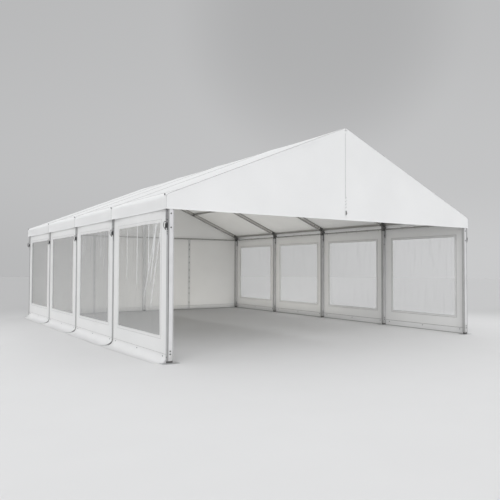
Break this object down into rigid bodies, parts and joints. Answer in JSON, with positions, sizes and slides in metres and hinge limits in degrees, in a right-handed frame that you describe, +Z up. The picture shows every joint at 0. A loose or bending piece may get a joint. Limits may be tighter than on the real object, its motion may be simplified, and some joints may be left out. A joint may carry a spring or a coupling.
{
  "type": "marquee tent",
  "caption": "Frame marquee with a pitched fabric roof, one open gable, clear windows in both side walls and a closed back wall.",
  "frame": {"origin": "on the ground at the middle of the whole footprint, ground flaps and base plates included; the middle portal stands 121.5 mm in front of it", "axes": "+Y runs along the ridge from the open front gable at -Y to the closed back wall; +X is to the right seen from the front; +Z is up"},
  "size_m": [9.5814, 12.443, 5.0903],
  "materials": {
    "aluminium": "mill finish extrusion, satin",
    "steel": "galvanised, matt",
    "fabric": "white PVC-coated polyester, semi-gloss",
    "clear_window": "clear flexible PVC film, glossy"
  },
  "bodies": {
    "root": {"upright_left_1": "aluminium", "foot_left_1": "steel", "upright_right_1": "aluminium", "foot_right_1": "steel", "rafter_pair_1": "aluminium", "upright_left_2": "aluminium", "foot_left_2": "steel", "upright_right_2": "aluminium", "foot_right_2": "steel", "rafter_pair_2": "aluminium", "upright_left_3": "aluminium", "foot_left_3": "steel", "upright_right_3": "aluminium", "foot_right_3": "steel", "rafter_pair_3": "aluminium", "upright_left_4": "aluminium", "foot_left_4": "steel", "upright_right_4": "aluminium", "foot_right_4": "steel", "rafter_pair_4": "aluminium", "upright_left_5": "aluminium", "foot_left_5": "steel", "upright_right_5": "aluminium", "foot_right_5": "steel", "rafter_pair_5": "aluminium", "eave_purlin_left": "aluminium", "wall_rail_left": "aluminium", "mid_purlin_left": "aluminium", "eave_purlin_right": "aluminium", "wall_rail_right": "aluminium", "mid_purlin_right": "aluminium", "ridge_purlin": "aluminium", "gable_post": "aluminium", "foot_gable_post": "steel", "back_rail": "aluminium", "roof_panel_1": "fabric", "side_wall_left_1": "fabric", "window_left_1": "clear_window", "side_wall_right_1": "fabric", "window_right_1": "clear_window", "roof_panel_2": "fabric", "side_wall_left_2": "fabric", "window_left_2": "clear_window", "side_wall_right_2": "fabric", "window_right_2": "clear_window", "roof_panel_3": "fabric", "side_wall_left_3": "fabric", "window_left_3": "clear_window", "side_wall_right_3": "fabric", "window_right_3": "clear_window", "roof_panel_4": "fabric", "side_wall_left_4": "fabric", "window_left_4": "clear_window", "side_wall_right_4": "fabric", "window_right_4": "clear_window", "front_gable": "fabric", "back_gable": "fabric", "back_wall_left": "fabric", "back_wall_middle": "fabric", "back_wall_right": "fabric"}
  },
  "joints": []
}
